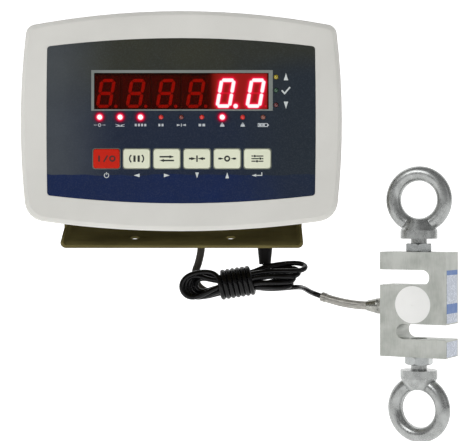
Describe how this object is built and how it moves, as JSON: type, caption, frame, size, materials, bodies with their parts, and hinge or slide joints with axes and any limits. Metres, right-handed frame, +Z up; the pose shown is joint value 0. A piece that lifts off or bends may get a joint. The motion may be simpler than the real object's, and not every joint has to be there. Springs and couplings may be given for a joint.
{
  "type": "crane scale",
  "caption": "Crane scale: an LED weight indicator on a tilting sheet-metal bracket, wired by a tied cable bundle to an S-type load cell between two lifting eyes.",
  "frame": {"origin": "middle of the upper lifting eye, where the hoist's hook or shackle goes", "axes": "+Z up along the load line, +X to the right of someone who reads the display, +Y away from them"},
  "size_m": [0.3174, 0.1191, 0.3132],
  "materials": {
    "housing": "light grey moulded case, fine texture",
    "rubber": "black rubber",
    "screws": "zinc plated",
    "overlay": "printed polyester film, dark blue",
    "window": "dark red filter",
    "led_digit": "red seven-segment digit, dark body",
    "lamp_red": "red lamp lens",
    "lamp_olive": "olive, green and red lamp lenses",
    "key_red": "red moulded key",
    "key_cream": "cream moulded key",
    "electronics": "black moulding",
    "circuit_board": "green solder mask",
    "connector": "cream connector housing",
    "ribbon": "grey flat cable",
    "tinplate": "tin plate",
    "battery": "dark grey case",
    "bracket_paint": "dark olive brown paint, satin",
    "knob": "black moulding",
    "washer": "hard fibre-filled rubber",
    "plated": "bright plated",
    "plug": "dark grey coupling ring",
    "signal_jacket": "glossy black jacket",
    "nylon": "black nylon",
    "power_jacket": "dark brown-grey jacket",
    "power_moulding": "black moulding",
    "cell_steel": "ground and nickel plated",
    "cover": "white disc",
    "gauge_film": "amber film",
    "label": "white film with a blue band",
    "gland_steel": "plated",
    "conduit_steel": "stainless tube",
    "eye_steel": "forged, smooth galvanised grey"
  },
  "bodies": {
    "scale": {"front_bezel": "housing", "shell_gasket": "rubber", "back_plate": "housing", "rear_shell": "housing", "housing_screws": "screws", "overlay_panel": "overlay", "display_window": "window", "led_digit_1": "led_digit", "led_digit_2": "led_digit", "led_digit_3": "led_digit", "led_digit_4": "led_digit", "led_digit_5": "led_digit", "led_digit_6": "led_digit", "status_leds": "lamp_red", "limit_leds": "lamp_olive", "key_switches": "electronics", "display_board": "circuit_board", "board_screws": "screws", "main_board": "circuit_board", "board_connectors": "connector", "ribbon_cable": "ribbon", "adc_shield": "tinplate", "buzzer": "electronics", "battery": "battery", "battery_strap": "tinplate", "friction_washers": "washer", "signal_socket": "plated", "signal_plug": "plug", "signal_boot": "rubber", "signal_cable_upper": "signal_jacket", "cable_hank": "signal_jacket", "signal_cable_lower": "signal_jacket", "power_gland": "nylon", "power_gland_nut": "nylon", "power_lead": "power_jacket", "power_inlet": "power_moulding", "s_block": "cell_steel", "gauge_cover_front": "cover", "gauge_cover_rear": "cover", "strain_gauges": "gauge_film", "terminal_board": "circuit_board", "cell_labels": "label", "cell_gland": "gland_steel", "cell_gland_nut": "gland_steel", "conduit": "conduit_steel", "conduit_ferrule": "conduit_steel"},
    "bracket": {"bracket_plate": "bracket_paint", "bracket_arms": "bracket_paint"},
    "knob_left": {"tilt_knob_left": "knob"},
    "knob_right": {"tilt_knob_right": "knob"},
    "upper_eye": {"eye_upper": "eye_steel"},
    "lower_eye": {"eye_lower": "eye_steel"},
    "upper_nut": {"lock_nut_upper": "plated"},
    "lower_nut": {"lock_nut_lower": "plated"},
    "button_on_off": {"key_on_off": "key_red"},
    "button_hold": {"key_hold": "key_cream"},
    "button_unit": {"key_unit": "key_cream"},
    "button_tare": {"key_tare": "key_cream"},
    "button_zero": {"key_zero": "key_cream"},
    "button_set": {"key_set": "key_cream"}
  },
  "joints": [
    {"name": "bracket_tilt", "type": "hinge", "parent": "scale", "child": "bracket", "pos_m": [-0.173, 0.022, 0.052], "axis": [1, 0, 0], "range_deg": [-13, 17]},
    {"name": "knob_left_turn", "type": "hinge", "parent": "scale", "child": "knob_left", "pos_m": [-0.173, 0.022, 0.052], "axis": [1, 0, 0], "continuous": true},
    {"name": "knob_right_turn", "type": "hinge", "parent": "scale", "child": "knob_right", "pos_m": [-0.173, 0.022, 0.052], "axis": [1, 0, 0], "continuous": true},
    {"name": "on_off_press", "type": "slide", "parent": "scale", "child": "button_on_off", "axis": [0, 1, 0], "range_m": [0, 0.0006], "stiffness_N_per_m": 800},
    {"name": "hold_press", "type": "slide", "parent": "scale", "child": "button_hold", "axis": [0, 1, 0], "range_m": [0, 0.0006], "stiffness_N_per_m": 800},
    {"name": "unit_press", "type": "slide", "parent": "scale", "child": "button_unit", "axis": [0, 1, 0], "range_m": [0, 0.0006], "stiffness_N_per_m": 800},
    {"name": "tare_press", "type": "slide", "parent": "scale", "child": "button_tare", "axis": [0, 1, 0], "range_m": [0, 0.0006], "stiffness_N_per_m": 800},
    {"name": "zero_press", "type": "slide", "parent": "scale", "child": "button_zero", "axis": [0, 1, 0], "range_m": [0, 0.0006], "stiffness_N_per_m": 800},
    {"name": "set_press", "type": "slide", "parent": "scale", "child": "button_set", "axis": [0, 1, 0], "range_m": [0, 0.0006], "stiffness_N_per_m": 800},
    {"name": "upper_eye_turn", "type": "hinge", "parent": "scale", "child": "upper_eye", "pos_m": [0, 0, 0], "axis": [0, 0, 1], "continuous": true},
    {"name": "lower_eye_turn", "type": "hinge", "parent": "scale", "child": "lower_eye", "pos_m": [0, 0, -0.1527], "axis": [0, 0, 1], "continuous": true},
    {"name": "upper_nut_turn", "type": "hinge", "parent": "scale", "child": "upper_nut", "pos_m": [0, 0, -0.035], "axis": [0, 0, 1], "continuous": true},
    {"name": "lower_nut_turn", "type": "hinge", "parent": "scale", "child": "lower_nut", "pos_m": [0, 0, -0.1172], "axis": [0, 0, 1], "continuous": true}
  ]
}
